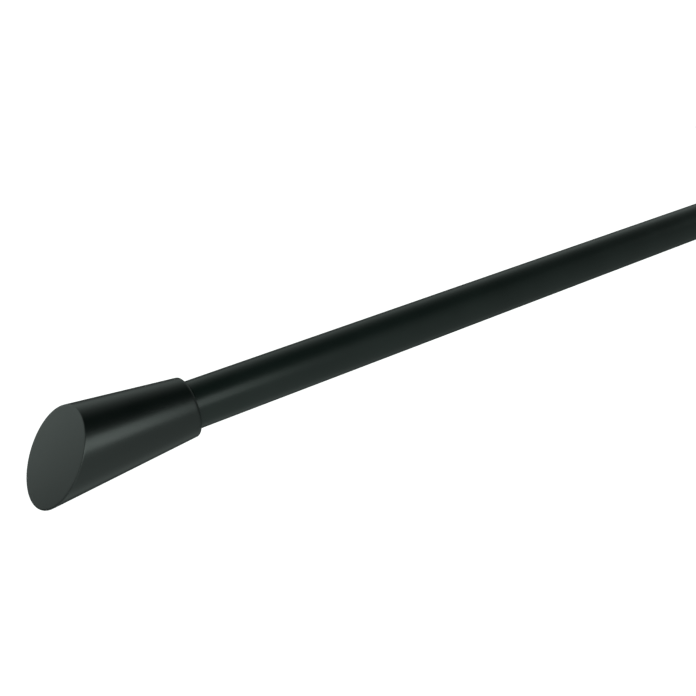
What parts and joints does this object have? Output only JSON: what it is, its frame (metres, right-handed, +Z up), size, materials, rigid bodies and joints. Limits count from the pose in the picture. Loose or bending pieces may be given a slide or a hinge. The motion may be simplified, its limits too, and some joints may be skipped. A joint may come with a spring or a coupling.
{
  "type": "curtain rod with brackets",
  "caption": "Telescoping round curtain rod in satin black with slant-cut flared finials and two wall brackets of adjustable projection.",
  "frame": {"origin": "middle of the left wall plate's back face, on the wall's surface", "axes": "+X along the rod from the left bracket to the right one, +Y into the wall, +Z up"},
  "size_m": [1.7846, 0.1448, 0.049],
  "materials": {
    "black_powder_coat": "fine satin black powder coat",
    "black_oxide": "black oxide steel",
    "zinc_steel": "bright zinc plate",
    "black_nylon": "moulded black nylon",
    "grey_nylon": "moulded grey nylon"
  },
  "bodies": {
    "left_mount": {"left_wall_plate": "black_powder_coat", "left_wall_screw_upper": "zinc_steel", "left_wall_screw_lower": "zinc_steel", "left_wall_anchor_upper": "grey_nylon", "left_wall_anchor_lower": "grey_nylon"},
    "left_rose": {"left_rose": "black_powder_coat"},
    "left_arm_screw": {"left_arm_screw": "black_oxide"},
    "left_arm": {"left_arm": "black_powder_coat", "left_cradle": "black_powder_coat", "left_cradle_pad": "black_nylon"},
    "left_thumb_screw": {"left_thumb_screw": "black_oxide"},
    "outer_rod": {"outer_tube": "black_powder_coat", "mouth_bush": "black_nylon"},
    "left_finial": {"left_finial": "black_powder_coat"},
    "left_finial_screw": {"left_finial_screw": "black_oxide"},
    "inner_rod": {"inner_tube": "black_powder_coat", "inner_glide": "black_nylon"},
    "right_finial": {"right_finial": "black_powder_coat", "reducer_sleeve": "black_nylon"},
    "right_finial_screw": {"right_finial_screw": "black_oxide"},
    "right_arm": {"right_arm": "black_powder_coat", "right_cradle": "black_powder_coat", "right_cradle_pad": "black_nylon"},
    "right_thumb_screw": {"right_thumb_screw": "black_oxide"},
    "right_mount": {"right_wall_plate": "black_powder_coat", "right_wall_screw_upper": "zinc_steel", "right_wall_screw_lower": "zinc_steel", "right_wall_anchor_upper": "grey_nylon", "right_wall_anchor_lower": "grey_nylon"},
    "right_rose": {"right_rose": "black_powder_coat"},
    "right_arm_screw": {"right_arm_screw": "black_oxide"}
  },
  "joints": [
    {"name": "projection_left", "type": "slide", "parent": "left_mount", "child": "left_arm", "axis": [0, -1, 0], "range_m": [-0.01, 0.015]},
    {"name": "rod_in_left_cradle", "type": "slide", "parent": "left_arm", "child": "outer_rod", "axis": [1, 0, 0], "range_m": [-0.2, 0.44]},
    {"name": "extension", "type": "slide", "parent": "outer_rod", "child": "inner_rod", "axis": [1, 0, 0], "range_m": [-0.11, 0.27]},
    {"name": "right_bracket_along_rod", "type": "slide", "parent": "inner_rod", "child": "right_arm", "axis": [1, 0, 0], "range_m": [-0.02, 0.44]},
    {"name": "projection_right", "type": "slide", "parent": "right_arm", "child": "right_mount", "axis": [0, 1, 0], "range_m": [-0.01, 0.015]},
    {"name": "left_rose_lift", "type": "slide", "parent": "left_mount", "child": "left_rose", "axis": [0, -1, 0], "range_m": [0, 0.036]},
    {"name": "right_rose_lift", "type": "slide", "parent": "right_mount", "child": "right_rose", "axis": [0, -1, 0], "range_m": [0, 0.036]},
    {"name": "left_thumb_travel", "type": "slide", "parent": "left_arm", "child": "left_thumb_screw", "axis": [0, -1, 0], "range_m": [0, 0.004]},
    {"name": "right_thumb_travel", "type": "slide", "parent": "right_arm", "child": "right_thumb_screw", "axis": [0, -1, 0], "range_m": [0, 0.004]},
    {"name": "left_arm_screw_travel", "type": "slide", "parent": "left_mount", "child": "left_arm_screw", "axis": [0, 0, -1], "range_m": [0, 0.0025]},
    {"name": "right_arm_screw_travel", "type": "slide", "parent": "right_mount", "child": "right_arm_screw", "axis": [0, 0, -1], "range_m": [0, 0.0025]},
    {"name": "left_finial_turn", "type": "hinge", "parent": "outer_rod", "child": "left_finial", "pos_m": [-0.48, -0.085, 0], "axis": [1, 0, 0], "range_deg": [-180, 180]},
    {"name": "right_finial_turn", "type": "hinge", "parent": "inner_rod", "child": "right_finial", "pos_m": [1.18, -0.085, 0], "axis": [1, 0, 0], "range_deg": [-180, 180]},
    {"name": "left_finial_screw_travel", "type": "slide", "parent": "left_finial", "child": "left_finial_screw", "axis": [0, 0, -1], "range_m": [0, 0.0015]},
    {"name": "right_finial_screw_travel", "type": "slide", "parent": "right_finial", "child": "right_finial_screw", "axis": [0, 0, -1], "range_m": [0, 0.0025]}
  ],
  "couplings": [
    {"joint": "projection_right", "follows": "projection_left", "ratio": 1}
  ]
}
